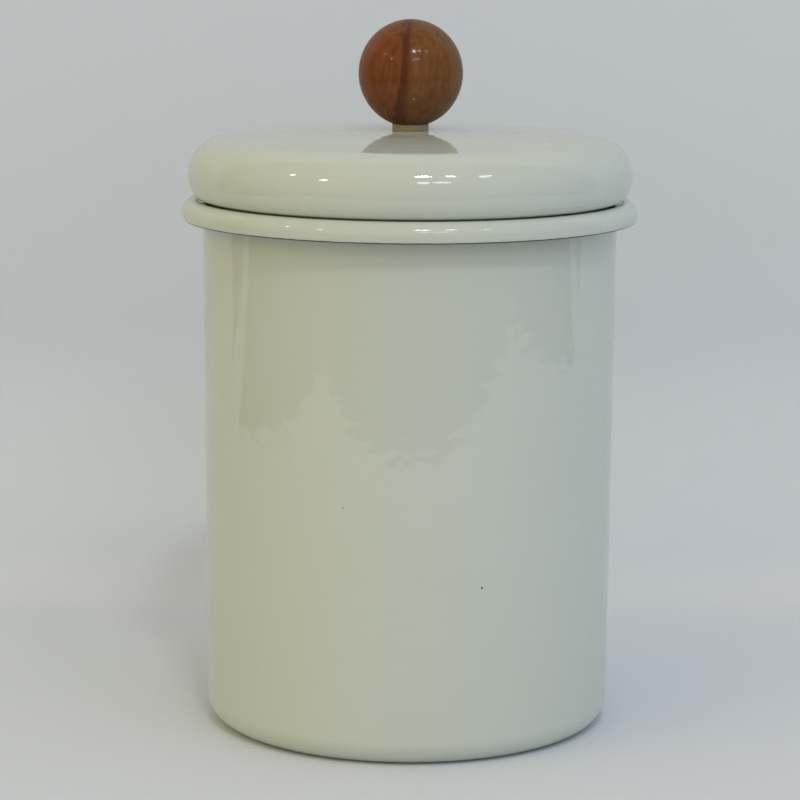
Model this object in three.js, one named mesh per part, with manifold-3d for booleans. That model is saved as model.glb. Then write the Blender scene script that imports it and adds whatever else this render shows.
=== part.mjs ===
// Enamelled steel storage jar with a lift-off lid and a turned wooden ball knob.
// Millimetres, +Z up. The origin is the middle of the circle that the jar stands on.

import * as THREE from "three";
import { mergeVertices } from "three/addons/utils/BufferGeometryUtils.js";
import Module from "manifold-3d";

// Driving dimensions

// Sheet of the jar and the lid: steel with both coats of enamel
const SHEET = 1.0;

// Jar body
const RIM_TOP_HEIGHT = 160.75;
const WALL_RADIUS = 62.7;
const WALL_TAPER = 0.8;
const FOOT_CORNER_RADIUS = 7.5;
const STANDING_RING_WIDTH = 4.6;
const FLOOR_RISE = 1.2;
const FLOOR_STEP_RADIUS = 1.8;

// Rolled rim: an inner curl over the mouth, then a slightly wider curl that ends in an open lip
const RIM_INNER_RADIUS = 3.55;
const RIM_OUTER_RADIUS = 3.9;
const RIM_LIP_DEGREES = 37;

// Lid: a low crown, a round edge that tucks under to a ledge, and a collar inside the mouth
const CROWN_RISE = 2.0;
const KNOB_LAND_RADIUS = 8.0;
const EDGE_RADIUS = 11.3;
const UNDERCUT_RADIUS = 2.0;
const UNDERCUT_DEGREES = 33;
const LEDGE_INSET = 1.5;
const COLLAR_DEPTH = 9.6;
const COLLAR_CURL_RADIUS = 1.5;
const COLLAR_CURL_DEGREES = 160;

// Ball knob, turned a little taller than it is wide, and the washer that cushions it
const BALL_RADIUS = 15.75;
const BALL_HALF_HEIGHT = 16.15;
const KNOB_FOOT_RADIUS = 5.35;
const CUSHION_OVERHANG = 0.15;
const CUSHION_THICKNESS = 1.8;

// Barbed insert in the ball
const INSERT_RADIUS = 3.1;
const INSERT_LENGTH = 9.0;
const INSERT_BARB_DEPTH = 0.35;
const INSERT_RECESS = 0.4;

// Screw and washer under the lid
const SCREW_RADIUS = 2.0;
const SCREW_LENGTH = 12.0;
const SCREW_POINT_CHAMFER = 0.5;
const SCREW_HEAD_RADIUS = 4.0;
const SCREW_HEAD_THICKNESS = 2.5;
const SCREW_HEAD_ROUNDING = 1.2;
const SCREW_SLOT_WIDTH = 1.1;
const SCREW_SLOT_DEPTH = 1.2;
const WASHER_RADIUS = 5.5;
const WASHER_THICKNESS = 0.8;

// Clearances
const LEDGE_GAP = 0.3;
const COLLAR_CLEARANCE = 0.8;
const HOLE_CLEARANCE = 0.3;
const INSERT_CLEARANCE = 0.1;
const THREAD_CLEARANCE = 0.15;
const BORE_END_ROOM = 0.6;
const CUT_OVERRUN = 1.0;

// Facets: how far a chord may stray from its curve, and the steps round the axis
const CHORD_ERROR = 0.1;
const SAME_POINT_DISTANCE = 0.001;
const SHEET_STEPS = 60;
const BALL_STEPS = 36;
const FASTENER_STEPS = 28;
const INSERT_BARBS = 4;
const ROUNDED_EDGE_STEPS = 3;

// Sizes that several pieces share
const MOUTH_RADIUS = WALL_RADIUS - SHEET;
const RIM_CREST_RADIUS = MOUTH_RADIUS + RIM_INNER_RADIUS;
const TUCK_RADIUS = EDGE_RADIUS - UNDERCUT_RADIUS;
const EDGE_CENTRE_HEIGHT = UNDERCUT_RADIUS + TUCK_RADIUS * along(UNDERCUT_DEGREES).y;
const LID_HEIGHT = EDGE_CENTRE_HEIGHT + EDGE_RADIUS + CROWN_RISE;
const SCREW_HOLE_RADIUS = SCREW_RADIUS + HOLE_CLEARANCE;
const SCREW_HEAD_SEAT = -SHEET - WASHER_THICKNESS;

// Finishes
const creamEnamel = new THREE.MeshStandardMaterial({ color: "#dedcc6", roughness: 0.12, metalness: 0 });
const varnishedWood = new THREE.MeshStandardMaterial({ color: "#74452a", roughness: 0.25, metalness: 0 });
const naturalNylon = new THREE.MeshStandardMaterial({ color: "#a39a78", roughness: 0.6, metalness: 0 });
const brass = new THREE.MeshStandardMaterial({ color: "#b8924a", roughness: 0.35, metalness: 1 });
const zincPlatedSteel = new THREE.MeshStandardMaterial({ color: "#b9bcc0", roughness: 0.35, metalness: 1 });

// Outlines. Each is a list of points (distance from the axis, height) that is revolved about Z.

function point(radius, height) {
  return new THREE.Vector2(radius, height);
}

// Angles are in degrees, from the outward direction towards +Z.
function along(degrees) {
  const angle = THREE.MathUtils.degToRad(degrees);
  return point(Math.cos(angle), Math.sin(angle));
}

function stepsFor(radius, degrees) {
  const stepAngle = 2 * Math.acos(1 - Math.min(1, CHORD_ERROR / radius));
  return Math.max(1, Math.ceil(THREE.MathUtils.degToRad(Math.abs(degrees)) / stepAngle));
}

function arc(centre, radius, fromDegrees, toDegrees, steps = stepsFor(radius, toDegrees - fromDegrees)) {
  return Array.from({ length: steps + 1 }, (_, i) => {
    const degrees = THREE.MathUtils.lerp(fromDegrees, toDegrees, i / steps);
    return centre.clone().addScaledVector(along(degrees), radius);
  });
}

// One bend of a sheet: the arcs of its two faces about one centre. The near face is the one
// that shows first on the way from the axis, and the far face lies a sheet's thickness beyond.
function bend(centre, nearRadius, farRadius, fromDegrees, toDegrees) {
  const steps = stepsFor(Math.max(nearRadius, farRadius), toDegrees - fromDegrees);
  return {
    near: arc(centre, nearRadius, fromDegrees, toDegrees, steps),
    far: arc(centre, farRadius, fromDegrees, toDegrees, steps),
  };
}

// The half-round edge on the end of a sheet, from its near face to its far face.
function roundedEdge(near, far) {
  const nearEnd = near[near.length - 1];
  const farEnd = far[far.length - 1];
  const middle = nearEnd.clone().lerp(farEnd, 0.5);
  const spoke = nearEnd.clone().sub(middle);
  const travel = nearEnd.clone().sub(near[near.length - 2]);
  const turn = Math.PI * Math.sign(spoke.cross(travel));
  return Array.from({ length: ROUNDED_EDGE_STEPS - 1 }, (_, i) => {
    return nearEnd.clone().rotateAround(middle, (turn * (i + 1)) / ROUNDED_EDGE_STEPS);
  });
}

// The outline of a pressed sheet of constant thickness: out along the near face through every
// bend, round the edge, and back along the far face.
function sheetOutline(start, bends) {
  const near = [start.near, ...bends.flatMap((one) => one.near)];
  const far = [start.far, ...bends.flatMap((one) => one.far)];
  return [...near, ...roundedEdge(near, far), ...far.reverse()];
}

// Revolves an outline. One that doesn't start and end on the axis is closed on itself.
function revolve(outline, steps) {
  const points = outline.filter((p, i) => i === 0 || p.distanceTo(outline[i - 1]) > SAME_POINT_DISTANCE);
  if (points[0].x > 0) {
    points.push(points[0].clone());
  }
  if (THREE.ShapeUtils.area(points) < 0) {
    points.reverse();
  }
  return new THREE.LatheGeometry(points, steps).rotateX(Math.PI / 2);
}

// Solids

function namedMesh(name, geometry, material, height = 0) {
  const mesh = new THREE.Mesh(geometry, material);
  mesh.name = name;
  mesh.position.z = height;
  return mesh;
}

const wasm = await Module();
wasm.setup();

function toSolid(geometry) {
  const bare = geometry.clone();
  bare.deleteAttribute("normal");
  bare.deleteAttribute("uv");
  const merged = mergeVertices(bare);
  return new wasm.Manifold(new wasm.Mesh({
    numProp: 3,
    vertProperties: Float32Array.from(merged.attributes.position.array),
    triVerts: Uint32Array.from(merged.index.array),
  }));
}

function toGeometry(solid) {
  const mesh = solid.getMesh();
  const geometry = new THREE.BufferGeometry();
  geometry.setAttribute("position", new THREE.BufferAttribute(mesh.vertProperties, 3));
  geometry.setIndex(new THREE.BufferAttribute(mesh.triVerts, 1));
  geometry.computeVertexNormals();
  return geometry;
}

// Jar body, with its height 0 on the standing ring

function jarBody() {
  // The floor panel steps down to the standing ring through two bends that share its rise.
  const stepWide = FLOOR_STEP_RADIUS + SHEET;
  const stepSum = FLOOR_STEP_RADIUS + stepWide;
  const stepDegrees = THREE.MathUtils.radToDeg(Math.acos(1 - FLOOR_RISE / stepSum));
  const footCentreRadius = WALL_RADIUS - WALL_TAPER - FOOT_CORNER_RADIUS;
  const ringInnerRadius = footCentreRadius - STANDING_RING_WIDTH;
  const panelRadius = ringInnerRadius - stepSum * along(stepDegrees).y;

  // The wall leans out by the taper between the foot corner and the inner curl of the rim.
  const innerCurl = point(RIM_CREST_RADIUS, RIM_TOP_HEIGHT - RIM_INNER_RADIUS);
  const outerCurl = point(RIM_CREST_RADIUS, RIM_TOP_HEIGHT - RIM_OUTER_RADIUS);
  const wallHeight = innerCurl.y - FOOT_CORNER_RADIUS;
  const lean = THREE.MathUtils.radToDeg(Math.atan2(WALL_TAPER, wallHeight));

  const start = { near: point(0, FLOOR_RISE), far: point(0, FLOOR_RISE + SHEET) };
  const panelBend = point(panelRadius, FLOOR_RISE - FLOOR_STEP_RADIUS);
  const ringBend = point(ringInnerRadius, stepWide);
  const footCorner = point(footCentreRadius, FOOT_CORNER_RADIUS);
  const outline = sheetOutline(start, [
    bend(panelBend, FLOOR_STEP_RADIUS, stepWide, 90, 90 - stepDegrees),
    bend(ringBend, stepWide, FLOOR_STEP_RADIUS, -90 - stepDegrees, -90),
    bend(footCorner, FOOT_CORNER_RADIUS, FOOT_CORNER_RADIUS - SHEET, -90, -lean),
    bend(innerCurl, RIM_INNER_RADIUS - SHEET, RIM_INNER_RADIUS, 180 - lean, 90),
    bend(outerCurl, RIM_OUTER_RADIUS - SHEET, RIM_OUTER_RADIUS, 90, 0),
    bend(outerCurl, RIM_OUTER_RADIUS - SHEET, RIM_OUTER_RADIUS, 0, -RIM_LIP_DEGREES),
  ]);
  return namedMesh("jar_body", revolve(outline, SHEET_STEPS), creamEnamel);
}

// Lid, with its height 0 on the underside of the ledge

function lidShell() {
  // The round edge runs past its widest point and tucks under in a tighter bend, which leaves
  // it level just inside the crest of the rim. Both bends have the same slope where they meet.
  const undercut = point(RIM_CREST_RADIUS - LEDGE_INSET, UNDERCUT_RADIUS);
  const edge = point(undercut.x - TUCK_RADIUS * along(UNDERCUT_DEGREES).x, EDGE_CENTRE_HEIGHT);

  // The crown falls from the level land under the knob and flows into the round edge. Its
  // radius is the one that meets both without a crease.
  const rise = EDGE_RADIUS + CROWN_RISE;
  const span = edge.x - KNOB_LAND_RADIUS;
  const crownRadius = (span ** 2 + rise ** 2 - EDGE_RADIUS ** 2) / (2 * CROWN_RISE);
  const crown = point(KNOB_LAND_RADIUS, LID_HEIGHT - crownRadius);
  const crownEnd = THREE.MathUtils.radToDeg(Math.atan2(edge.y - crown.y, span));

  // The sheet turns down from the ledge into the collar, whose end curls inwards.
  const collarRadius = MOUTH_RADIUS - COLLAR_CLEARANCE;
  const ledgeBendRadius = undercut.x - collarRadius;
  const ledgeBend = point(undercut.x, -ledgeBendRadius);
  const collarCurl = point(collarRadius - COLLAR_CURL_RADIUS, COLLAR_CURL_RADIUS - COLLAR_DEPTH);

  const holeEdge = point(SCREW_HOLE_RADIUS, LID_HEIGHT);
  const start = { near: holeEdge, far: point(holeEdge.x, LID_HEIGHT - SHEET) };
  const outline = sheetOutline(start, [
    bend(crown, crownRadius, crownRadius - SHEET, 90, crownEnd),
    bend(edge, EDGE_RADIUS, EDGE_RADIUS - SHEET, crownEnd, 0),
    bend(edge, EDGE_RADIUS, EDGE_RADIUS - SHEET, 0, -UNDERCUT_DEGREES),
    bend(undercut, UNDERCUT_RADIUS, UNDERCUT_RADIUS - SHEET, -UNDERCUT_DEGREES, -90),
    bend(ledgeBend, ledgeBendRadius, ledgeBendRadius + SHEET, 90, 180),
    bend(collarCurl, COLLAR_CURL_RADIUS, COLLAR_CURL_RADIUS - SHEET, 0, -COLLAR_CURL_DEGREES),
  ]);
  return namedMesh("lid_shell", revolve(outline, SHEET_STEPS), creamEnamel);
}

// Knob and its fastening, with height 0 on the outside of the lid

// A plain washer that lies on the given height.
function washer(name, outerRadius, thickness, height, material) {
  const outline = [
    point(SCREW_HOLE_RADIUS, 0),
    point(outerRadius, 0),
    point(outerRadius, thickness),
    point(SCREW_HOLE_RADIUS, thickness),
  ];
  return namedMesh(name, revolve(outline, FASTENER_STEPS), material, height);
}

// Turned ball with a flat foot, bored for the insert. Its height 0 is the face of the foot.
function knobBall(height) {
  const footDegrees = THREE.MathUtils.radToDeg(Math.acos(KNOB_FOOT_RADIUS / BALL_RADIUS));
  const centreHeight = BALL_HALF_HEIGHT * along(footDegrees).y;
  const ball = arc(point(0, 0), BALL_RADIUS, 90, -footDegrees).map((p) => {
    return point(p.x, centreHeight + (p.y * BALL_HALF_HEIGHT) / BALL_RADIUS);
  });
  const boreRadius = INSERT_RADIUS + INSERT_CLEARANCE;
  const insertEnd = INSERT_RECESS + INSERT_LENGTH;
  const screwEnd = SCREW_HEAD_SEAT + SCREW_LENGTH - CUSHION_THICKNESS;
  const boreEnd = Math.max(insertEnd, screwEnd) + BORE_END_ROOM;
  const outline = [
    point(0, centreHeight + BALL_HALF_HEIGHT),
    ...ball.slice(1),
    point(boreRadius, 0),
    point(boreRadius, boreEnd),
    point(0, boreEnd),
  ];
  return namedMesh("knob_ball", revolve(outline, BALL_STEPS), varnishedWood, height);
}

// Tube with saw-tooth rings round it that keep it from pulling out. Height 0 is its lower end.
function knobInsert(height) {
  const pitch = INSERT_LENGTH / INSERT_BARBS;
  const rootRadius = INSERT_RADIUS - INSERT_BARB_DEPTH;
  const boreRadius = SCREW_RADIUS + THREAD_CLEARANCE;
  const barbs = Array.from({ length: INSERT_BARBS }, (_, i) => [
    point(INSERT_RADIUS, i * pitch),
    point(rootRadius, (i + 1) * pitch),
  ]).flat();
  const outline = [point(boreRadius, 0), ...barbs, point(boreRadius, INSERT_LENGTH)];
  return namedMesh("knob_insert", revolve(outline, FASTENER_STEPS), brass, height);
}

// Slotted pan-head screw, point upwards. Height 0 is the face that its head bears on.
function knobScrew(height) {
  const headTop = -SCREW_HEAD_THICKNESS;
  const rounding = point(SCREW_HEAD_RADIUS - SCREW_HEAD_ROUNDING, headTop + SCREW_HEAD_ROUNDING);
  const outline = [
    point(0, headTop),
    ...arc(rounding, SCREW_HEAD_ROUNDING, -90, 0),
    point(SCREW_HEAD_RADIUS, 0),
    point(SCREW_RADIUS, 0),
    point(SCREW_RADIUS, SCREW_LENGTH - SCREW_POINT_CHAMFER),
    point(SCREW_RADIUS - SCREW_POINT_CHAMFER, SCREW_LENGTH),
    point(0, SCREW_LENGTH),
  ];
  const slotLength = 2 * (SCREW_HEAD_RADIUS + CUT_OVERRUN);
  const slotDepth = SCREW_SLOT_DEPTH + CUT_OVERRUN;
  const slot = new THREE.BoxGeometry(slotLength, SCREW_SLOT_WIDTH, slotDepth);
  slot.translate(0, 0, headTop + SCREW_SLOT_DEPTH - slotDepth / 2);
  const slotted = toSolid(revolve(outline, FASTENER_STEPS)).subtract(toSolid(slot));
  return namedMesh("knob_screw", toGeometry(slotted), zincPlatedSteel, height);
}

// Assembly

const knob = new THREE.Group();
knob.position.z = LID_HEIGHT;
knob.add(
  washer("knob_washer", KNOB_FOOT_RADIUS + CUSHION_OVERHANG, CUSHION_THICKNESS, 0, naturalNylon),
  knobBall(CUSHION_THICKNESS),
  knobInsert(CUSHION_THICKNESS + INSERT_RECESS),
  washer("screw_washer", WASHER_RADIUS, WASHER_THICKNESS, SCREW_HEAD_SEAT, zincPlatedSteel),
  knobScrew(SCREW_HEAD_SEAT),
);

const lid = new THREE.Group();
lid.position.z = RIM_TOP_HEIGHT + LEDGE_GAP;
lid.add(lidShell(), knob);

const enamelJar = new THREE.Group();
enamelJar.add(jarBody(), lid);

export default enamelJar;
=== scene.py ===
# An enamelled steel storage jar with a lift-off lid and a turned wooden ball knob.
# Everything is in metres, +Z up, with the jar standing at the origin. Angles on a profile are
# read in the XZ plane, anticlockwise from +X.

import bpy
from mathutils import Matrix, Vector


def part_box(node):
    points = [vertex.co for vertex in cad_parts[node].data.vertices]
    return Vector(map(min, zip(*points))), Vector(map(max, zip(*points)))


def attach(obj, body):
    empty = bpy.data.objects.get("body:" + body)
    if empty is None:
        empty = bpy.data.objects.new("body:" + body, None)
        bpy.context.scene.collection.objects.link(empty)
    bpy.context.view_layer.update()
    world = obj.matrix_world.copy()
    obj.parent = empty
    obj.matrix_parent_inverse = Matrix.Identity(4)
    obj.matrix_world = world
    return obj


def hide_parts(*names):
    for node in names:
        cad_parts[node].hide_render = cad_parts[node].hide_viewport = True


bl_info = {
    "name": "Enamel jar",
    "version": (1, 0, 0),
    "blender": (4, 5, 0),
    "location": "View3D > Sidebar > Enamel jar",
    "description": "Models and finishes an enamelled steel jar with a wooden ball knob",
    "category": "Add Mesh",
}

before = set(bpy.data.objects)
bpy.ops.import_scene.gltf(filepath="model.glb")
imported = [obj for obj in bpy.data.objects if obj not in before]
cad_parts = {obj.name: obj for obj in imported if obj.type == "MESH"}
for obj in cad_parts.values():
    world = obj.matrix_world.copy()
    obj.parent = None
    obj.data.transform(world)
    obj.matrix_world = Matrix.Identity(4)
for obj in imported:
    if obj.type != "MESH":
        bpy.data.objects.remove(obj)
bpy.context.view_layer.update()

import math

import bmesh
import bpy
from bpy.props import FloatProperty, FloatVectorProperty, PointerProperty, StringProperty
from mathutils import Matrix, Vector

MM = 0.001
FULL_TURN = 2 * math.pi
RIGHT_ANGLE = math.pi / 2
X_AXIS, Y_AXIS, Z_AXIS = (1, 0, 0), (0, 1, 0), (0, 0, 1)

# How finely curves are cut: round the jar, round a washer or the screw, and along a bend
TURNS = 240
SMALL_TURNS = 96
BEND_STEP = math.radians(5)

# How close points have to be to merge, and how close to a place they have to be to be picked
MERGE_DISTANCE = 0.002 * MM
SAME_PLACE = 0.01 * MM

# Edges sharper than this stay sharp, and faces that lean less than this count as level.
SMOOTH_ANGLE = math.radians(35)
LEVEL = math.cos(math.radians(25))


def size(label, text, default):
    """A length property, given in millimetres."""
    return FloatProperty(
        name=label, description=text, default=default * MM, unit="LENGTH", precision=5
    )


def angle(label, text, degrees):
    """An angle property, given in degrees."""
    return FloatProperty(
        name=label, description=text, default=math.radians(degrees), subtype="ANGLE"
    )


def colour(label, text, hex_code):
    """A colour property that holds an sRGB hex value."""
    return StringProperty(name=label, description=text, default=hex_code)


class JarSizes(bpy.types.PropertyGroup):
    """Sizes of the jar body."""

    sheet: size("Sheet", "Thickness of the steel with both coats of enamel", 1.0)
    wall_radius: size("Wall radius", "Outside radius of the wall just under the rim", 62.7)
    taper: size("Taper", "How much smaller the wall's radius is at the foot", 0.8)
    foot_corner: size("Foot corner", "Outside radius of the bend from the wall to the foot", 7.5)
    ring_width: size("Ring width", "Width of the flat ring that the jar stands on", 4.6)
    floor_rise: size("Floor rise", "Height of the floor panel over the standing ring", 1.2)
    floor_step: size("Floor step", "Inside radius of the bends between the ring and the panel", 1.8)
    rim_inner: size("Inner curl", "Radius of the rim's curl over the mouth", 3.55)
    rim_outer: size("Outer curl", "Radius of the rim's slightly wider outer curl", 3.9)
    lip: angle("Lip", "How far the outer curl runs below its widest point", 37)


class LidSizes(bpy.types.PropertyGroup):
    """Sizes of the lid."""

    crown_rise: size("Crown rise", "Height of the crown over the top of the round edge", 2.0)
    land_radius: size("Land radius", "Radius of the level land under the knob", 8.0)
    hole_radius: size("Hole radius", "Radius of the hole for the knob's screw", 2.3)
    edge: size("Round edge", "Outside radius of the lid's round edge", 11.3)
    undercut: size("Undercut", "Radius of the bend that tucks the edge under", 2.0)
    undercut_angle: angle("Undercut angle", "How far below its widest point the edge tucks in", 33)
    ledge_inset: size("Ledge inset", "How far inside the rim's crest the undercut ends", 1.5)
    collar_gap: size("Collar gap", "Clearance between the collar and the mouth", 0.8)
    collar_depth: size("Collar depth", "Depth of the collar below the ledge", 9.6)
    collar_curl: size("Collar curl", "Radius of the collar's rolled end", 1.5)
    curl_angle: angle("Curl angle", "How far the collar's end is rolled inwards", 160)


class KnobSizes(bpy.types.PropertyGroup):
    """Sizes of the knob and its fastening."""

    ball: size("Ball radius", "Radius of the wooden ball", 15.75)
    half_height: size("Ball half height", "Half of the ball's height before its foot is cut", 16.15)
    foot: size("Foot radius", "Radius of the ball's flat foot", 5.35)
    bore: size("Bore radius", "Radius of the bore for the threaded insert", 3.2)
    bore_depth: size("Bore depth", "Depth of the bore from the foot", 10.0)
    washer_hole: size("Washer hole", "Radius of the hole in both washers", 2.3)
    washer_edge: size("Washer edge", "Rounding of the washers' edges", 0.15)
    screw: size("Screw radius", "Radius of the screw's shank", 2.0)
    head: size("Head radius", "Radius of the screw's head", 4.0)
    head_height: size("Head height", "Thickness of the screw's head", 2.5)
    head_rounding: size("Head rounding", "Rounding of the screw head's edge", 1.2)
    slot_width: size("Slot width", "Width of the slot across the head", 1.1)
    slot_depth: size("Slot depth", "Depth of the slot across the head", 1.2)


class Finishes(bpy.types.PropertyGroup):
    """Colours of the finishes, as sRGB hex values."""

    enamel: colour("Enamel", "Cream vitreous enamel", "#bfcabf")
    enamel_thick: colour("Thick enamel", "The same enamel where it lies thicker", "#bcc6b6")
    speck: colour("Speck", "Dark speck fired into the enamel", "#4a463e")
    # At the jar's lip this dark colour is partly the real ground coat and partly painted shade for
    # the shadow line under the rim.
    ground_coat_and_lip_shade: colour("Ground coat", "Dark ground enamel that shows at a cut edge", "#3a3b3e")
    wood_red: colour("Red wood", "Redder half of the ball", "#744426")
    wood_brown: colour("Brown wood", "Browner half of the ball", "#724d2a")
    wood_dark: colour("Dark grain", "Dark bands and fibres", "#4e2810")
    wood_streak: colour("Streak", "Dark heartwood streak", "#432417")
    nylon: colour("Nylon", "Natural nylon washer", "#a39a78")
    nylon_scuffed: colour("Scuffed nylon", "The same nylon where it is rubbed", "#938b6c")
    zinc: colour("Zinc", "Bright zinc plating", "#c3c5c8")
    zinc_bloom: colour("Zinc bloom", "The same plating where it has dulled", "#b2b4b7")
    brass: colour("Brass", "Turned brass", "#c9a55c")
    brass_tarnish: colour("Tarnish", "The same brass where it has tarnished", "#b09050")
    # The table's paler tone than the wall's is painted light, for the stronger light that falls on
    # the level table.
    table: colour("Table", "Pale table", "#d5dde1")
    wall: colour("Wall", "Slightly greyer wall behind it", "#cad5da")
    carpet: colour("Carpet", "Floor round the table, seen only in reflections", "#3f3d3a")
    carpet_worn: colour("Worn carpet", "The same floor where it is trodden", "#393735")
    wall_paint: colour("Wall paint", "Walls of the room, seen only in reflections", "#807f7c")
    wall_paint_dull: colour("Dull wall paint", "The same walls where they have yellowed", "#7a7974")


class Studio(bpy.types.PropertyGroup):
    """Camera, lamps and room."""

    lens: FloatProperty(
        name="Lens", description="Focal length, in mm", default=134.43, unit="CAMERA"
    )
    camera_side: size("Camera side", "Distance of the camera right of the jar's axis", -2.65)
    camera_distance: size("Camera distance", "Distance of the camera in front of the axis", 902.6)
    camera_height: size("Camera height", "Height of the camera over the table", 254.8)
    camera_pitch: angle("Camera pitch", "How far the camera looks down", 9.823)
    camera_roll: angle("Camera roll", "How far the camera is turned about its view", 0.35)
    room_light: FloatProperty(
        name="Room light", description="Strength of the room's even light", default=1.27
    )
    overhead_share: FloatProperty(
        name="Overhead share", description="Share of that light overhead", default=0.78
    )
    warm_side: colour("Warm side", "Tint of the even light on the left", "#fcd98c")
    cool_side: colour("Cool side", "Tint of the even light on the right", "#c6d2fa")


class EnamelJar(bpy.types.PropertyGroup):
    """All settings of the enamel jar."""

    jar: PointerProperty(type=JarSizes)
    lid: PointerProperty(type=LidSizes)
    knob: PointerProperty(type=KnobSizes)
    finishes: PointerProperty(type=Finishes)
    studio: PointerProperty(type=Studio)


def settings():
    """The scene's own settings of the jar."""
    return bpy.context.scene.enamel_jar


# Modelling by hand: selecting by place, and the bends of a sheet


def on_profile(distance, height):
    """A point on a profile, in the XZ plane."""
    return Vector((distance, 0, height))


def along(turn):
    """The direction at that angle on a profile."""
    return on_profile(math.cos(turn), math.sin(turn))


def start_piece():
    """Leaves edit mode with nothing selected."""
    if bpy.context.object and bpy.context.object.mode != "OBJECT":
        bpy.ops.object.mode_set(mode="OBJECT")
    bpy.ops.object.select_all(action="DESELECT")


def edit():
    """Goes into edit mode, to work on vertices."""
    bpy.ops.object.mode_set(mode="EDIT")
    bpy.ops.mesh.select_mode(type="VERT")


def pick(kind, test):
    """Selects those vertices, edges or faces of the piece in edit mode that pass a test."""
    bpy.ops.mesh.select_mode(type=kind)
    bpy.ops.mesh.select_all(action="DESELECT")
    mesh = bmesh.from_edit_mesh(bpy.context.object.data)
    parts = {"VERT": mesh.verts, "EDGE": mesh.edges, "FACE": mesh.faces}[kind]
    found = [part for part in parts if test(part)]
    if not found:
        raise RuntimeError(f"{bpy.context.object.name}: nothing to select")
    for part in found:
        part.select_set(True)
    mesh.select_flush_mode()
    bmesh.update_edit_mesh(bpy.context.object.data)


def middle(part):
    """The middle of an edge or a face."""
    return sum((v.co for v in part.verts), Vector()) / len(part.verts)


def start_sheet(name, start, length, thickness):
    """Lays the first stretch of a sheet's cross-section along +X, and selects its far end."""
    start_piece()
    centre = start + on_profile(length / 2, thickness / 2)
    bpy.ops.mesh.primitive_plane_add(size=1, location=centre, rotation=(RIGHT_ANGLE, 0, 0))
    piece = bpy.context.object
    piece.name = piece.data.name = name
    piece.scale = (length, thickness, 1)
    bpy.ops.object.transform_apply(location=True, rotation=True, scale=True)
    edit()
    pick("VERT", lambda v: v.co.x > start.x + length - SAME_PLACE)
    return piece


def start_rod(name, radius, low, high):
    """Puts an upright rod between two heights on the jar's axis, in edit mode."""
    start_piece()
    bpy.ops.mesh.primitive_cylinder_add(
        vertices=SMALL_TURNS, radius=radius, depth=high - low, location=(0, 0, (low + high) / 2)
    )
    rod = bpy.context.object
    rod.name = rod.data.name = name
    bpy.ops.object.transform_apply(location=True, rotation=True, scale=True)
    edit()
    return rod


def bend_sheet(centre, start, end):
    """Bends the selected end of the sheet about a centre, from one angle to another."""
    turn = end - start
    steps = math.ceil(abs(turn) / BEND_STEP)
    bpy.ops.mesh.spin(steps=steps, angle=turn, center=centre, axis=Y_AXIS)


def extend(distance, height):
    """Runs what is selected straight on, out from the axis and up."""
    bpy.ops.mesh.extrude_region_move(TRANSFORM_OT_translate={"value": (distance, 0, height)})


def round_end(thickness):
    """Rounds both corners of the selected end of the sheet, almost to a half round."""
    corner_share, steps = 0.45, 5
    bpy.ops.mesh.bevel(offset=thickness * corner_share, segments=steps, affect="VERTICES")


def turn_sheet(hole_radius):
    """Turns the sheet's cross-section about the jar's axis into a closed solid."""
    # Only the outline of the cross-section is turned, without its side that lies on the axis.
    bpy.ops.mesh.select_mode(type="EDGE")
    bpy.ops.mesh.select_all(action="SELECT")
    bpy.ops.mesh.region_to_loop()
    bpy.ops.mesh.select_all(action="INVERT")
    bpy.ops.mesh.delete(type="EDGE_FACE")
    if hole_radius == 0:
        pick("EDGE", lambda e: all(abs(v.co.x) < SAME_PLACE for v in e.verts))
        bpy.ops.mesh.delete(type="EDGE")
    bpy.ops.mesh.select_mode(type="VERT")
    bpy.ops.mesh.select_all(action="SELECT")
    bpy.ops.mesh.spin(
        steps=TURNS, angle=FULL_TURN, center=(0, 0, 0), axis=Z_AXIS, use_auto_merge=True
    )
    close_piece()


def close_piece():
    """Merges doubles, turns all faces outwards and leaves edit mode with smooth shading, in which
    a long face keeps its own direction right up to the bend beside it."""
    bpy.ops.mesh.select_all(action="SELECT")
    bpy.ops.mesh.remove_doubles(threshold=MERGE_DISTANCE)
    bpy.ops.mesh.normals_make_consistent(inside=False)
    bpy.ops.mesh.select_all(action="DESELECT")
    bpy.ops.object.mode_set(mode="OBJECT")
    bpy.ops.object.shade_smooth_by_angle(angle=SMOOTH_ANGLE)
    bpy.ops.object.modifier_add(type="WEIGHTED_NORMAL")
    normals = bpy.context.object.modifiers[-1]
    normals.keep_sharp = True
    bpy.ops.object.modifier_apply(modifier=normals.name)


def fit(piece, body, node, material):
    """Puts a finished piece in the place of its CAD node, with its finish."""
    piece.data.materials.clear()
    piece.data.materials.append(material)
    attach(piece, body)
    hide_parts(node)


# Pieces


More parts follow.
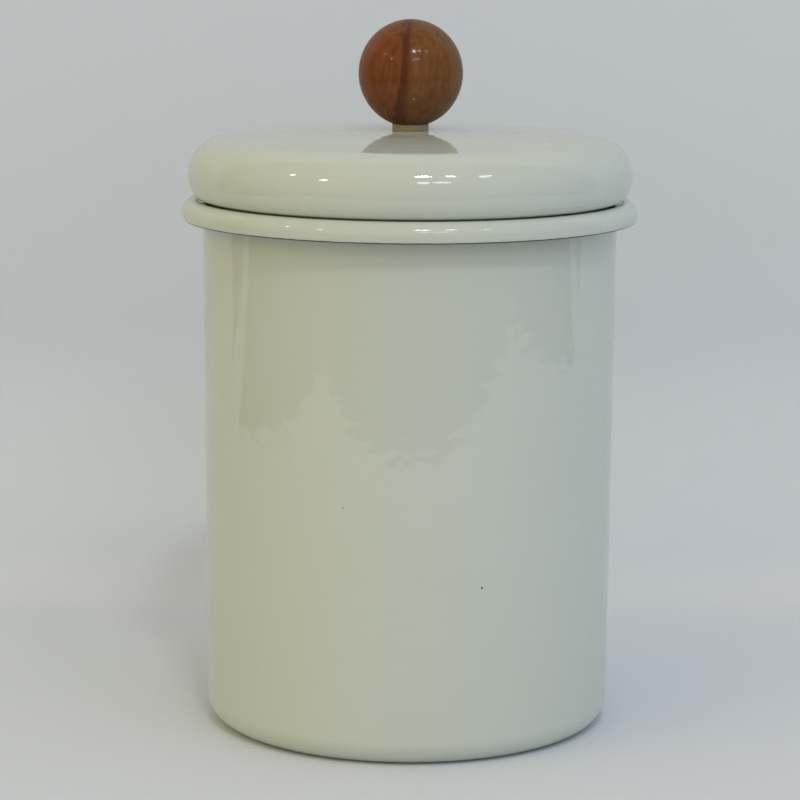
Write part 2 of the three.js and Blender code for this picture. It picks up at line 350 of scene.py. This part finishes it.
def model_jar():
    """The jar body: a deep-drawn shell with a stepped floor, a rounded foot and a rolled rim."""
    s = settings().jar
    rim_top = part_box("jar_body")[1].z

    # The floor panel steps down to the standing ring through two bends that share its rise.
    outer_step = s.floor_step + s.sheet
    step_turn = math.acos(1 - s.floor_rise / (s.floor_step + outer_step))
    foot = on_profile(s.wall_radius - s.taper - s.foot_corner, s.foot_corner)
    ring = on_profile(foot.x - s.ring_width, outer_step)
    step_run = (s.floor_step + outer_step) * math.sin(step_turn)
    panel = on_profile(ring.x - step_run, s.floor_rise - s.floor_step)

    # The wall leans out by the taper between the foot corner and the rim's inner curl.
    crest = s.wall_radius - s.sheet + s.rim_inner
    inner_curl = on_profile(crest, rim_top - s.rim_inner)
    outer_curl = on_profile(crest, rim_top - s.rim_outer)
    lean = math.atan2(s.taper, inner_curl.z - foot.z)
    wall_foot = foot + along(-lean) * s.foot_corner
    wall_top = inner_curl + along(math.pi - lean) * (s.rim_inner - s.sheet)
    wall = wall_top - wall_foot

    jar = start_sheet("enamelled_jar", on_profile(0, s.floor_rise), panel.x, s.sheet)
    bend_sheet(panel, RIGHT_ANGLE, RIGHT_ANGLE - step_turn)
    bend_sheet(ring, -RIGHT_ANGLE - step_turn, -RIGHT_ANGLE)
    extend(s.ring_width, 0)
    bend_sheet(foot, -RIGHT_ANGLE, -lean)
    extend(wall.x, wall.z)
    bend_sheet(inner_curl, math.pi - lean, RIGHT_ANGLE)
    bend_sheet(outer_curl, RIGHT_ANGLE, -s.lip)
    round_end(s.sheet)
    turn_sheet(0)
    lip = outer_curl + along(-s.lip) * s.rim_outer
    enamel = vitreous_enamel("vitreous_enamel_on_jar", lip, JAR_SPECKS)
    fit(jar, "jar", "jar_body", enamel)


def model_lid():
    """The lid: a low crown, a round edge tucked under to a ledge, and a collar with a curl."""
    s = settings().lid
    jar = settings().jar
    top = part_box("lid_shell")[1].z
    tuck = s.edge - s.undercut
    rise = s.edge + s.crown_rise
    ledge = top - rise - tuck * math.sin(s.undercut_angle) - s.undercut
    mouth = jar.wall_radius - jar.sheet

    undercut = on_profile(mouth + jar.rim_inner - s.ledge_inset, ledge + s.undercut)
    edge = undercut - along(-s.undercut_angle) * tuck

    # One crown radius meets both the level land and the round edge without a crease.
    crown_steps = 16
    span = edge.x - s.land_radius
    crown_radius = (span**2 + rise**2 - s.edge**2) / (2 * s.crown_rise)
    crown = on_profile(s.land_radius, top - crown_radius)
    crown_end = math.atan2(edge.z - crown.z, span)

    collar = mouth - s.collar_gap
    ledge_bend = on_profile(undercut.x, ledge - (undercut.x - collar))
    curl = on_profile(collar - s.collar_curl, ledge - s.collar_depth + s.collar_curl)

    land = s.land_radius - s.hole_radius
    lid = start_sheet("enamelled_lid", on_profile(s.hole_radius, top - jar.sheet), land, jar.sheet)
    bpy.ops.mesh.spin(steps=crown_steps, angle=crown_end - RIGHT_ANGLE, center=crown, axis=Y_AXIS)
    bend_sheet(edge, crown_end, -s.undercut_angle)
    bend_sheet(undercut, -s.undercut_angle, -RIGHT_ANGLE)
    bend_sheet(ledge_bend, RIGHT_ANGLE, math.pi)
    extend(0, curl.z - ledge_bend.z)
    bend_sheet(curl, 0, -s.curl_angle)
    round_end(jar.sheet)
    turn_sheet(s.hole_radius)
    lip = curl + along(-s.curl_angle) * s.collar_curl
    fit(lid, "lid", "lid_shell", vitreous_enamel("vitreous_enamel_on_lid", lip))


def model_ball():
    """The turned ball, a little taller than wide: its flat foot is cut, inset and bored."""
    s = settings().knob
    foot_height, top = (corner.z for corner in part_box("knob_ball"))
    centre = top - s.half_height
    meridians, parallels = 128, 64
    start_piece()
    bpy.ops.mesh.primitive_uv_sphere_add(
        segments=meridians,
        ring_count=parallels,
        radius=s.ball,
        location=(0, 0, centre),
        scale=(1, 1, s.half_height / s.ball),
    )
    ball = bpy.context.object
    ball.name = ball.data.name = "turned_wooden_ball"
    bpy.ops.object.transform_apply(location=True, rotation=True, scale=True)
    edit()
    bpy.ops.mesh.select_all(action="SELECT")
    bpy.ops.mesh.bisect(
        plane_co=(0, 0, foot_height),
        plane_no=Z_AXIS,
        clear_inner=True,
        use_fill=True,
        threshold=MERGE_DISTANCE,
    )
    pick("FACE", lambda f: abs(middle(f).z - foot_height) < SAME_PLACE)
    bpy.ops.mesh.inset(thickness=s.foot - s.bore)
    # The inset leaves a ring of four-sided faces round the one that the bore goes in at.
    pick("FACE", lambda f: abs(middle(f).z - foot_height) < SAME_PLACE and len(f.verts) > 4)
    extend(0, s.bore_depth)
    close_piece()
    fit(ball, "lid", "knob_ball", varnished_wood(centre))


def model_washer(name, node, material):
    """A flat washer with rounded edges, in the place of its CAD node."""
    s = settings().knob
    low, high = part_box(node)
    radius = high.x
    edge_steps = 3
    washer = start_rod(name, radius, low.z, high.z)
    pick("FACE", lambda f: abs(f.normal.z) > LEVEL)
    bpy.ops.mesh.inset(thickness=radius - s.washer_hole)
    # Bridging the two inner faces opens the hole between them.
    pick("FACE", lambda f: len(f.verts) > 4)
    bpy.ops.mesh.bridge_edge_loops()

    def is_rim(edge):
        """Whether an edge runs level round the jar's axis."""
        start, end = (v.co for v in edge.verts)
        level = abs(start.z - end.z) < SAME_PLACE
        round_axis = abs(start.xy.length - end.xy.length) < SAME_PLACE
        return level and round_axis

    pick("EDGE", is_rim)
    bpy.ops.mesh.bevel(offset=s.washer_edge, segments=edge_steps)
    close_piece()
    fit(washer, "lid", node, material)


def model_screw():
    """The slotted pan-head screw: a rounded head, a slot cut across it, and a plain shank."""
    s = settings().knob
    low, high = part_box("knob_screw")
    seat = low.z + s.head_height
    rounding_steps = 8
    screw = start_rod("slotted_knob_screw", s.head, low.z, seat)
    pick("FACE", lambda f: f.normal.z > LEVEL)
    bpy.ops.mesh.inset(thickness=s.head - s.screw)
    extend(0, high.z - seat)
    pick("EDGE", lambda e: all(abs(v.co.z - low.z) < SAME_PLACE for v in e.verts))
    bpy.ops.mesh.bevel(offset=s.head_rounding, segments=rounding_steps)
    close_piece()

    # The cutter is centred on the head's face and runs well past both its sides.
    start_piece()
    bpy.ops.mesh.primitive_cube_add(size=1, location=(0, 0, low.z))
    cutter = bpy.context.object
    cutter.scale = (4 * s.head, s.slot_width, 2 * s.slot_depth)
    bpy.ops.object.transform_apply(location=True, rotation=True, scale=True)
    bpy.context.view_layer.objects.active = screw
    slot = screw.modifiers.new("slot", "BOOLEAN")
    slot.operation = "DIFFERENCE"
    slot.object = cutter
    bpy.ops.object.modifier_apply(modifier=slot.name)
    bpy.data.objects.remove(cutter)
    fit(screw, "lid", "knob_screw", zinc_plate("zinc_plated_screw"))


# Materials

# How far the enamel draws back from a cut lip, give or take a share of it. The dark band there is
# partly the bare ground coat and partly painted shade for the shadow line under the jar's rim.
BARE_AND_SHADED_LIP = 0.62 * MM
BARE_AND_SHADED_LIP_SHARE = 0.2

# Place and radius of each speck fired into the jar's coat
JAR_SPECKS = (
    ((21.46 * MM, -58.32 * MM, 53.44 * MM), 0.34 * MM),
    ((-18.89 * MM, -59.34 * MM, 77.09 * MM), 0.2 * MM),
)


def linear(hex_code):
    """An sRGB hex colour as linear RGBA."""
    channels = [int(hex_code[i : i + 2], 16) / 255 for i in (1, 3, 5)]
    return (*[c / 12.92 if c <= 0.04045 else ((c + 0.055) / 1.055) ** 2.4 for c in channels], 1)


def add_node(tree, kind, inputs=(), output=0, **options):
    """Adds a node with its options and returns one of its outputs. An input is a value, or the
    output that feeds it."""
    node = tree.nodes.new(kind)
    for name, value in options.items():
        setattr(node, name, value)
    for name, value in dict(inputs).items():
        if isinstance(value, bpy.types.NodeSocket):
            tree.links.new(value, node.inputs[name])
        else:
            node.inputs[name].default_value = value
    return node.outputs[output]


def new_material(name, **surface):
    """A material with a Principled BSDF that has those values on its sockets, and the place on
    the piece that its patterns read."""
    material = bpy.data.materials.new(name)
    material.use_nodes = True
    tree = material.node_tree
    shader = tree.nodes["Principled BSDF"]
    for socket, value in surface.items():
        shader.inputs[socket.replace("_", " ")].default_value = value
    return material, tree, shader, add_node(tree, "ShaderNodeTexCoord", output="Object")


def vitreous_enamel(name, lip, specks=()):
    """Glass enamel sprayed and fired on steel, for a piece with its cut lip at that place, and
    with specks of those places and radii."""
    # A hard gloss over faint ripples, known as orange peel, that break up every reflection
    material, tree, shader, place = new_material(name, Roughness=0.02, IOR=1.58)
    finishes = settings().finishes
    cloud, ripple, peel = 38 * MM, 24 * MM, 4 * MM
    ripple_height, peel_height = 0.05 * MM, 0.05 * MM
    lip_wave = 3 * MM

    # Spraying leaves the coat a touch thicker in places, so the cream varies very slightly.
    clouds = add_node(tree, "ShaderNodeTexNoise", {"Vector": place, "Scale": 1 / cloud})
    creams = {"Factor": clouds, 6: linear(finishes.enamel), 7: linear(finishes.enamel_thick)}
    skin = add_node(tree, "ShaderNodeMix", creams, 2, data_type="RGBA")

    # A dark speck is fired into the coat here and there.
    for speck, speck_radius in specks:
        ends = {0: place, 1: speck}
        away = add_node(tree, "ShaderNodeVectorMath", ends, "Value", operation="DISTANCE")
        within = add_node(tree, "ShaderNodeMath", {0: away, 1: speck_radius}, operation="LESS_THAN")
        colours = {"Factor": within, 6: skin, 7: linear(finishes.speck)}
        skin = add_node(tree, "ShaderNodeMix", colours, 2, data_type="RGBA")

    # The enamel draws back from the sheet's cut lip, and the dark ground coat shows there. At the
    # jar's outer lip this dark band is also painted shade, standing in for the shadow line under
    # the rim.
    flat = add_node(tree, "ShaderNodeVectorMath", {0: place, 1: (1, 1, 0)}, operation="MULTIPLY")
    radius = add_node(tree, "ShaderNodeVectorMath", {0: flat}, "Value", operation="LENGTH")
    height = add_node(tree, "ShaderNodeSeparateXYZ", {0: place}, "Z")
    profile = add_node(tree, "ShaderNodeCombineXYZ", {"X": radius, "Z": height})
    ends = {0: profile, 1: lip}
    distance = add_node(tree, "ShaderNodeVectorMath", ends, "Value", operation="DISTANCE")
    uneven = add_node(tree, "ShaderNodeTexNoise", {"Vector": place, "Scale": 1 / lip_wave})
    edge = {"Value": uneven}
    edge["To Min"] = BARE_AND_SHADED_LIP * (1 - BARE_AND_SHADED_LIP_SHARE)
    edge["To Max"] = BARE_AND_SHADED_LIP * (1 + BARE_AND_SHADED_LIP_SHARE)
    reach = add_node(tree, "ShaderNodeMapRange", edge)
    bare_and_shaded = add_node(tree, "ShaderNodeMath", {0: distance, 1: reach}, operation="LESS_THAN")
    colours = {"Factor": bare_and_shaded, 6: skin, 7: linear(finishes.ground_coat_and_lip_shade)}
    skin = add_node(tree, "ShaderNodeMix", colours, 2, data_type="RGBA")
    tree.links.new(skin, shader.inputs["Base Color"])

    ripples = add_node(tree, "ShaderNodeTexNoise", {"Vector": place, "Scale": 1 / ripple})
    rippled = add_node(tree, "ShaderNodeBump", {"Height": ripples, "Distance": ripple_height})
    peels = {"Vector": place, "Scale": 1 / peel, "Detail": 0.0}
    peeled = {"Height": add_node(tree, "ShaderNodeTexNoise", peels), "Normal": rippled}
    peeled["Distance"] = peel_height
    tree.links.new(add_node(tree, "ShaderNodeBump", peeled), shader.inputs["Normal"])
    return material


def varnished_wood(centre):
    """Turned hardwood, stained and varnished, for a ball with its middle at that height."""
    # Long grain up the ball, a dark streak of heartwood between a redder and a browner side, and
    # a clear gloss over it all
    material, tree, shader, place = new_material(
        "varnished_turned_hardwood",
        Roughness=0.5,
        Specular_IOR_Level=0.0,
        Coat_Weight=0.45,
        Coat_Roughness=0.12,
        Coat_IOR=1.5,
    )
    finishes = settings().finishes
    band, fibre, wave = 1.6 * MM, 0.5 * MM, 3.5 * MM
    seam_offset, wander, fray = 2.2 * MM, 1.4 * MM, 0.7 * MM
    redder, browner = -1.0 * MM, 3.0 * MM
    streak_core, streak_edge, streak_strength = 0.3 * MM, 2.4 * MM, 0.68
    pore_depth, varnish_depth = 0.03 * MM, 0.05 * MM
    lean, draw = math.radians(-4), 0.09

    # The grain leans a little, and its bands and fibres are drawn out along it.
    turned = {"Vector": place, "Location": (0, 0, -centre)}
    middled = add_node(tree, "ShaderNodeMapping", turned)
    leaned = add_node(tree, "ShaderNodeMapping", {"Vector": middled, "Rotation": (0, lean, 0)})
    drawn = add_node(tree, "ShaderNodeMapping", {"Vector": leaned, "Scale": (1, 1, draw)})
    across = add_node(tree, "ShaderNodeSeparateXYZ", {0: leaned}, "X")

    bands = {"Vector": drawn, "Scale": 1 / band, "Detail": 3.0, "Roughness": 0.6}
    fibres = {"Vector": drawn, "Scale": 1 / fibre, "Detail": 4.0, "Roughness": 0.7}
    banding = add_node(tree, "ShaderNodeTexNoise", bands)
    fibring = add_node(tree, "ShaderNodeTexNoise", fibres)
    waving = add_node(tree, "ShaderNodeTexNoise", {"Vector": drawn, "Scale": 1 / wave})

    # The seam between the two sides wanders and frays.
    wandering = {"Value": waving, "From Min": 0.2, "From Max": 0.8}
    wandering.update({"To Min": -wander, "To Max": wander})
    fraying = {"Value": banding, "From Min": 0.3, "From Max": 0.7}
    fraying.update({"To Min": -fray, "To Max": fray})
    wandered = {0: across, 1: add_node(tree, "ShaderNodeMapRange", wandering)}
    frayed = {0: add_node(tree, "ShaderNodeMath", wandered)}
    frayed[1] = add_node(tree, "ShaderNodeMapRange", fraying)
    placed = {0: add_node(tree, "ShaderNodeMath", frayed), 1: seam_offset}
    seam = add_node(tree, "ShaderNodeMath", placed)
    sides = {"Value": seam, "From Min": redder, "From Max": browner}
    side = add_node(tree, "ShaderNodeMapRange", sides)
    halves = {"Factor": side, 6: linear(finishes.wood_red), 7: linear(finishes.wood_brown)}
    ground = add_node(tree, "ShaderNodeMix", halves, 2, data_type="RGBA")

    # Dark bands lie over the sides, dark fibres over the bands, and the streak over them all.
    dark_bands = {"Value": banding, "From Min": 0.42, "From Max": 0.72, "To Max": 0.55}
    banded = {"Factor": add_node(tree, "ShaderNodeMapRange", dark_bands), 6: ground}
    banded[7] = linear(finishes.wood_dark)
    dark_fibres = {"Value": fibring, "From Min": 0.5, "From Max": 0.75, "To Max": 0.5}
    fibred = {"Factor": add_node(tree, "ShaderNodeMapRange", dark_fibres)}
    fibred[6] = add_node(tree, "ShaderNodeMix", banded, 2, data_type="RGBA")
    fibred[7] = linear(finishes.wood_dark)
    off_seam = add_node(tree, "ShaderNodeMath", {0: seam}, operation="ABSOLUTE")
    streak = {"Value": off_seam, "From Min": streak_core, "From Max": streak_edge}
    streak.update({"To Min": streak_strength, "To Max": 0.0})
    faded = add_node(tree, "ShaderNodeMapRange", streak, interpolation_type="SMOOTHSTEP")
    streaked = {"Factor": faded}
    streaked[6] = add_node(tree, "ShaderNodeMix", fibred, 2, data_type="RGBA")
    streaked[7] = linear(finishes.wood_streak)
    wood = add_node(tree, "ShaderNodeMix", streaked, 2, data_type="RGBA")
    tree.links.new(wood, shader.inputs["Base Color"])

    # The pores show through the varnish, which follows the bands a little.
    pores = add_node(tree, "ShaderNodeBump", {"Height": fibring, "Distance": pore_depth})
    tree.links.new(pores, shader.inputs["Normal"])
    varnished = add_node(tree, "ShaderNodeBump", {"Height": banding, "Distance": varnish_depth})
    tree.links.new(varnished, shader.inputs["Coat Normal"])
    return material


def clouded(tree, shader, place, cloud, light, dark):
    """Lets a surface's colour wander between two hex colours in clouds of that size."""
    spread = {"Vector": place, "Scale": 1 / cloud, "Detail": 4.0}
    clouds = add_node(tree, "ShaderNodeTexNoise", spread)
    colours = {"Factor": clouds, 6: linear(light), 7: linear(dark)}
    tone = add_node(tree, "ShaderNodeMix", colours, 2, data_type="RGBA")
    tree.links.new(tone, shader.inputs["Base Color"])
    return clouds


def natural_nylon():
    """Natural nylon, punched from sheet."""
    # A dull, slightly waxy cream-brown with faint scuffs
    material, tree, shader, place = new_material("punched_natural_nylon", Roughness=0.5, IOR=1.53)
    finishes = settings().finishes
    scuff = 1.2 * MM
    clouded(tree, shader, place, scuff, finishes.nylon, finishes.nylon_scuffed)
    return material


def zinc_plate(name):
    """Bright zinc plating on turned steel."""
    # A grey mirror with a fine bloom and faint turning marks
    material, tree, shader, place = new_material(name, Metallic=1.0)
    finishes = settings().finishes
    patch, mark, mark_depth = 1.5 * MM, 0.25 * MM, 0.01 * MM
    bloom = clouded(tree, shader, place, patch, finishes.zinc, finishes.zinc_bloom)
    sheen = {"Value": bloom, "From Min": 0.3, "From Max": 0.7, "To Min": 0.26, "To Max": 0.42}
    tree.links.new(add_node(tree, "ShaderNodeMapRange", sheen), shader.inputs["Roughness"])
    # Real turning marks are finer than this and would not show, so they are drawn coarser.
    marks = add_node(tree, "ShaderNodeTexNoise", {"Vector": place, "Scale": 1 / mark})
    marked = add_node(tree, "ShaderNodeBump", {"Height": marks, "Distance": mark_depth})
    tree.links.new(marked, shader.inputs["Normal"])
    return material


def turned_brass():
    """Turned brass."""
    # A warm yellow metal with a light satin from the tool
    material, tree, shader, place = new_material("turned_brass", Metallic=1.0)
    finishes = settings().finishes
    patch = 1.0 * MM
    tarnish = clouded(tree, shader, place, patch, finishes.brass, finishes.brass_tarnish)
    sheen = {"Value": tarnish, "From Min": 0.3, "From Max": 0.7, "To Min": 0.3, "To Max": 0.45}
    tree.links.new(add_node(tree, "ShaderNodeMapRange", sheen), shader.inputs["Roughness"])
    return material


def painted_board():
    """Board painted matt, bent up into a wall, and left out where it is seen from its back."""
    # A pale ground that takes a soft shadow, and turns a touch greyer up the wall in clouds. The
    # table's paler tone is painted light: it stands in for the stronger light that falls on the
    # level table than on the wall.
    material, tree, shader, place = new_material("matt_painted_board", Roughness=0.7)
    finishes = settings().finishes
    cloud, wander = 60 * MM, 8 * MM
    rise_start, rise_end = 2 * MM, 20 * MM
    height = add_node(tree, "ShaderNodeSeparateXYZ", {0: place}, "Z")
    clouds = add_node(tree, "ShaderNodeTexNoise", {"Vector": place, "Scale": 1 / cloud})
    shifted = {0: clouds, 1: wander, 2: height}
    wandered = add_node(tree, "ShaderNodeMath", shifted, operation="MULTIPLY_ADD")
    # The paler table below the wall is painted light, for the stronger light on level faces.
    rise = {"Value": wandered, "From Min": rise_start, "From Max": rise_end}
    painted_light_fade_up_wall = add_node(tree, "ShaderNodeMapRange", rise, interpolation_type="SMOOTHSTEP")
    colours = {"Factor": painted_light_fade_up_wall, 6: linear(finishes.table), 7: linear(finishes.wall)}
    board_colour = add_node(tree, "ShaderNodeMix", colours, 2, data_type="RGBA")
    tree.links.new(board_colour, shader.inputs["Base Color"])
    backs = add_node(tree, "ShaderNodeNewGeometry", output="Backfacing")
    left_out = add_node(tree, "ShaderNodeBsdfTransparent")
    shown = add_node(tree, "ShaderNodeMixShader", {0: backs, 1: shader.outputs[0], 2: left_out})
    tree.links.new(shown, tree.nodes["Material Output"].inputs["Surface"])
    return material


def dim_room(name, light, dark):
    """The walls or the floor of a dim room, matt, in two tones close together."""
    # A dull dark tone that wanders a little, too soft to draw the eye in a reflection
    material, tree, shader, place = new_material(name, Roughness=0.9)
    patch = 200 * MM
    clouded(tree, shader, place, patch, light, dark)
    return material


# Studio


def lay_table(name, width, front, back):
    """A level board between those two places in depth."""
    start_piece()
    bpy.ops.mesh.primitive_plane_add(size=1, location=(0, (front + back) / 2, 0))
    board = bpy.context.object
    board.name = board.data.name = name
    board.scale = (width, back - front, 1)
    bpy.ops.object.transform_apply(location=True, rotation=True, scale=True)
    return board


def model_backdrop():
    """A pale table that curves up into a wall close behind the jar."""
    width, front, back, wall_height = 5.0, -3.0, 3.0, 3.0
    wall_start, bend_radius, bend_steps = 0.125, 0.09, 24
    backdrop = lay_table("backdrop", width, front, wall_start)
    edit()
    pick("VERT", lambda v: v.co.y > wall_start - SAME_PLACE)
    centre = (0, wall_start, bend_radius)
    bpy.ops.mesh.spin(steps=bend_steps, angle=-RIGHT_ANGLE, center=centre, axis=X_AXIS)
    extend(0, wall_height)
    bpy.ops.mesh.select_all(action="SELECT")
    bpy.ops.mesh.remove_doubles(threshold=MERGE_DISTANCE)
    # Its faces turn in, towards the jar.
    bpy.ops.mesh.normals_make_consistent(inside=True)
    bpy.ops.object.mode_set(mode="OBJECT")
    bpy.ops.object.shade_smooth()
    board = painted_board()
    backdrop.data.materials.append(board)

    # Behind the wall, which is left out from there, the table runs on.
    run_on = lay_table("table_behind", width, wall_start, back)
    run_on.data.materials.append(board)


def model_dark_room():
    """The dim room round the pale table, which only shows as a reflection in the gloss."""
    reach, height, above_table = 6.0, 3.0, 1 * MM
    left, right, front, back = -0.53, 0.74, -0.5, 0.19
    start_piece()
    centre = (0, (back - reach) / 2, height / 2 + above_table)
    bpy.ops.mesh.primitive_cube_add(size=1, location=centre)
    room = bpy.context.object
    room.name = room.data.name = "dark_room"
    room.scale = (2 * reach, back + reach, height)
    bpy.ops.object.transform_apply(location=True, rotation=True, scale=True)
    edit()
    cuts = (((left, 0, 0), X_AXIS), ((right, 0, 0), X_AXIS), ((0, front, 0), Y_AXIS))
    for place, across in cuts:
        bpy.ops.mesh.select_all(action="SELECT")
        bpy.ops.mesh.bisect(plane_co=place, plane_no=across)

    def is_open(face):
        """Whether a face lies over the table or on the wall behind it, but not overhead."""
        spot = middle(face)
        return left < spot.x < right and spot.y > front and spot.z < height

    pick("FACE", is_open)
    bpy.ops.mesh.delete(type="FACE")
    bpy.ops.object.mode_set(mode="OBJECT")
    finishes = settings().finishes
    walls = dim_room("dull_wall_paint", finishes.wall_paint, finishes.wall_paint_dull)
    floor = dim_room("dull_dark_carpet", finishes.carpet, finishes.carpet_worn)
    room.data.materials.append(walls)
    room.data.materials.append(floor)
    for face in room.data.polygons:
        face.material_index = face.center.z < 2 * above_table
    room.visible_camera = room.visible_diffuse = room.visible_shadow = False
    room.visible_transmission = room.visible_volume_scatter = False


def add_camera():
    """The camera that the photograph's outlines gave."""
    sensor_width = 36
    s = settings().studio
    start_piece()
    bpy.ops.object.camera_add()
    camera = bpy.context.object
    camera.name = "camera"
    camera.data.sensor_width = sensor_width
    camera.data.lens = s.lens
    place = Matrix.Translation((s.camera_side, -s.camera_distance, s.camera_height))
    pitch = Matrix.Rotation(RIGHT_ANGLE - s.camera_pitch, 4, "X")
    roll = Matrix.Rotation(s.camera_roll, 4, "Z")
    camera.matrix_world = place @ (pitch @ roll)
    bpy.context.scene.camera = camera


def add_lamp(name, azimuth, elevation, width, height, power, tint):
    """An oval lamp that faces the jar. Azimuth is from the front towards the right, and the
    lamp's width and height are the angles that the jar sees, all in degrees."""
    distance, target_height = 1.7, 0.15
    turn, rise = math.radians(azimuth), math.radians(elevation)
    target = Vector((0, 0, target_height))
    level = math.cos(rise)
    away = Vector((math.sin(turn) * level, -math.cos(turn) * level, math.sin(rise)))
    start_piece()
    bpy.ops.object.light_add(type="AREA", location=target + away * distance)
    lamp = bpy.context.object
    lamp.name = name
    lamp.rotation_euler = away.to_track_quat("Z", "Y").to_euler()
    lamp.data.shape = "ELLIPSE"
    lamp.data.size = distance * math.radians(width)
    lamp.data.size_y = distance * math.radians(height)
    lamp.data.energy = power
    lamp.data.color = linear(tint)[:3]


# Name, azimuth, elevation, width, height, power in watts and colour of each lamp
LAMPS = (
    ("key_lamp", 8.5, 50, 7, 4, 3.6, "#f3f8ff"),
    ("right_lamp", 26.5, 50, 4.5, 4.5, 0.8, "#f0f7ff"),
    ("far_right_lamp", 46.5, 46, 5, 5, 0.45, "#f0f9ff"),
    ("far_left_lamp", -70, 36, 3.7, 3.7, 0.45, "#ffefd4"),
    ("left_lamp", -48, 31, 3.7, 3.7, 0.55, "#ffefd4"),
    ("window_pane", 7, 32.5, 5, 6, 0.5, "#e0ecff"),
    ("window", 17, 33, 10, 5, 0.8, "#e0ecff"),
)


def light_room():
    """Even light all round, set by the world, that turns from warm on the left to cool on the
    right and falls off a little overhead."""
    s = settings().studio
    world = bpy.data.worlds.new("even_room")
    bpy.context.scene.world = world
    world.use_nodes = True
    tree = world.node_tree
    background = tree.nodes["Background"]
    direction = add_node(tree, "ShaderNodeTexCoord", output="Generated")
    right = add_node(tree, "ShaderNodeSeparateXYZ", {0: direction}, "X")
    share = add_node(tree, "ShaderNodeMapRange", {"Value": right, "From Min": -1.0})
    sides = {"Factor": share, 6: linear(s.warm_side), 7: linear(s.cool_side)}
    tint = add_node(tree, "ShaderNodeMix", sides, 2, data_type="RGBA")
    tree.links.new(tint, background.inputs["Color"])
    up = add_node(tree, "ShaderNodeSeparateXYZ", {0: direction}, "Z")
    fall = {"Value": up, "To Min": s.room_light, "To Max": s.overhead_share * s.room_light}
    tree.links.new(add_node(tree, "ShaderNodeMapRange", fall), background.inputs["Strength"])


def build_studio():
    """The table, the room, the camera and the lights."""
    bpy.context.scene.view_settings.view_transform = "Standard"
    model_backdrop()
    model_dark_room()
    add_camera()
    light_room()
    for lamp in LAMPS:
        add_lamp(*lamp)


# Operators and panel


class ENAMELJAR_OT_jar(bpy.types.Operator):
    """Model the enamelled jar body"""

    bl_idname = "enamel_jar.jar"
    bl_label = "Jar body"

    def execute(self, context):
        model_jar()
        return {"FINISHED"}


class ENAMELJAR_OT_lid(bpy.types.Operator):
    """Model the enamelled lid"""

    bl_idname = "enamel_jar.lid"
    bl_label = "Lid"

    def execute(self, context):
        model_lid()
        return {"FINISHED"}


class ENAMELJAR_OT_knob(bpy.types.Operator):
    """Model the wooden ball and the washer under it"""

    bl_idname = "enamel_jar.knob"
    bl_label = "Ball knob"

    def execute(self, context):
        model_ball()
        model_washer("cushion_washer", "knob_washer", natural_nylon())
        return {"FINISHED"}


class ENAMELJAR_OT_fastening(bpy.types.Operator):
    """Model the screw and washer under the lid, and finish the insert in the ball"""

    bl_idname = "enamel_jar.fastening"
    bl_label = "Screw, washer and insert"

    def execute(self, context):
        plate = zinc_plate("zinc_plated_washer")
        model_washer("steel_washer", "screw_washer", plate)
        model_screw()
        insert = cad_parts["knob_insert"]
        insert.data.materials.clear()
        insert.data.materials.append(turned_brass())
        return {"FINISHED"}


class ENAMELJAR_OT_studio(bpy.types.Operator):
    """Set up the table, lamps and camera"""

    bl_idname = "enamel_jar.studio"
    bl_label = "Studio"

    def execute(self, context):
        build_studio()
        return {"FINISHED"}


class ENAMELJAR_PT_build(bpy.types.Panel):
    """The steps that build the jar"""

    bl_label = "Enamel jar"
    bl_idname = "ENAMELJAR_PT_build"
    bl_space_type = "VIEW_3D"
    bl_region_type = "UI"
    bl_category = "Enamel jar"

    def draw(self, context):
        for step in STEPS:
            self.layout.operator(step.bl_idname)


STEPS = (
    ENAMELJAR_OT_jar,
    ENAMELJAR_OT_lid,
    ENAMELJAR_OT_knob,
    ENAMELJAR_OT_fastening,
    ENAMELJAR_OT_studio,
)
CLASSES = (JarSizes, LidSizes, KnobSizes, Finishes, Studio, EnamelJar, *STEPS, ENAMELJAR_PT_build)


def register():
    for cls in CLASSES:
        bpy.utils.register_class(cls)
    bpy.types.Scene.enamel_jar = PointerProperty(type=EnamelJar)


def unregister():
    del bpy.types.Scene.enamel_jar
    for cls in reversed(CLASSES):
        bpy.utils.unregister_class(cls)


def main():
    """Builds everything in order."""
    register()
    bpy.ops.enamel_jar.jar()
    bpy.ops.enamel_jar.lid()
    bpy.ops.enamel_jar.knob()
    bpy.ops.enamel_jar.fastening()
    bpy.ops.enamel_jar.studio()
    start_piece()


if __name__ == "__main__":
    main()
